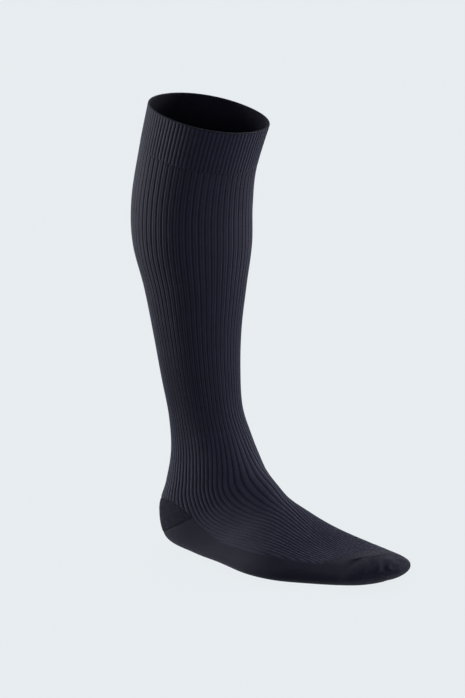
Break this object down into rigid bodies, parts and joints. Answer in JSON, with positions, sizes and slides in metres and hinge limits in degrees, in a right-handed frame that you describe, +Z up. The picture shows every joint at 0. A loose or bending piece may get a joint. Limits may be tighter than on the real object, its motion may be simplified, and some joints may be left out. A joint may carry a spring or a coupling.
{
  "type": "compression stocking",
  "caption": "Knee-high ribbed compression stocking for a right foot, filled out as when worn: open turned band, tapered leg, terry heel pocket, plain sole and closed toe pocket.",
  "frame": {"origin": "centre of the top opening, where the wearer's leg holds the stocking", "axes": "+Z up the leg, toes towards -Y, outer side of the right foot at -X; the sole lies 0.415 m below the origin"},
  "size_m": [0.1065, 0.2722, 0.4329],
  "materials": {
    "band_knit": "doubled flat rib knit of covered elastane and nylon, matt",
    "ribbed_knit": "broad rib knit of nylon and elastane, matt with a soft sheen",
    "terry_knit": "terry loop knit of nylon, matt and nubbly",
    "plain_knit": "smooth plain jersey knit of nylon and elastane, matt"
  },
  "bodies": {
    "root": {"top_band": "band_knit", "leg": "ribbed_knit", "heel": "terry_knit", "foot": "ribbed_knit", "toe": "plain_knit"}
  },
  "joints": []
}
